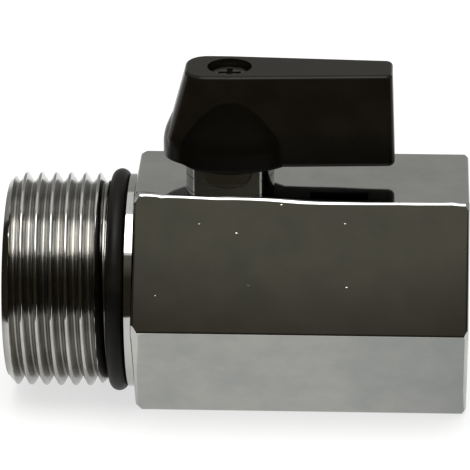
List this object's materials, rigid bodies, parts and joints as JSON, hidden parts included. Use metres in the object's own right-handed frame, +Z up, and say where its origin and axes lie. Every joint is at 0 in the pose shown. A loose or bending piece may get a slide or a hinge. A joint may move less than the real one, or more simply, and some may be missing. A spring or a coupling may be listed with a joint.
{
  "type": "mini ball valve",
  "caption": "Chrome-plated hexagonal mini ball valve with a male inlet, a female outlet, a sealing ring behind the male thread and a black quarter-turn lever.",
  "frame": {"origin": "centre of the ball, where the bore axis meets the stem axis", "axes": "+X along the bore towards the female outlet, +Z up the stem towards the handle"},
  "size_m": [0.0564, 0.0322, 0.0423],
  "materials": {
    "chrome_plate": "polished chrome plate on forged brass",
    "ball_chrome": "hard chrome, mirror polished",
    "brass": "turned brass",
    "black_plastic": "semi-gloss moulded plastic",
    "rubber": "moulded nitrile rubber",
    "ptfe": "white PTFE",
    "zinc_steel": "zinc-plated steel"
  },
  "bodies": {
    "valve_body": {"body": "chrome_plate", "thread_o_ring": "rubber", "inlet_seat": "ptfe", "outlet_seat": "ptfe", "seat_retainer": "brass"},
    "handle_assembly": {"handle": "black_plastic", "handle_screw": "zinc_steel", "stem": "brass", "stem_thrust_washer": "ptfe", "stem_o_ring_lower": "rubber", "stem_o_ring_upper": "rubber", "ball": "ball_chrome"}
  },
  "joints": [
    {"name": "handle_turn", "type": "hinge", "parent": "valve_body", "child": "handle_assembly", "pos_m": [0, 0, 0], "axis": [0, 0, 1], "range_deg": [-90, 0]}
  ]
}
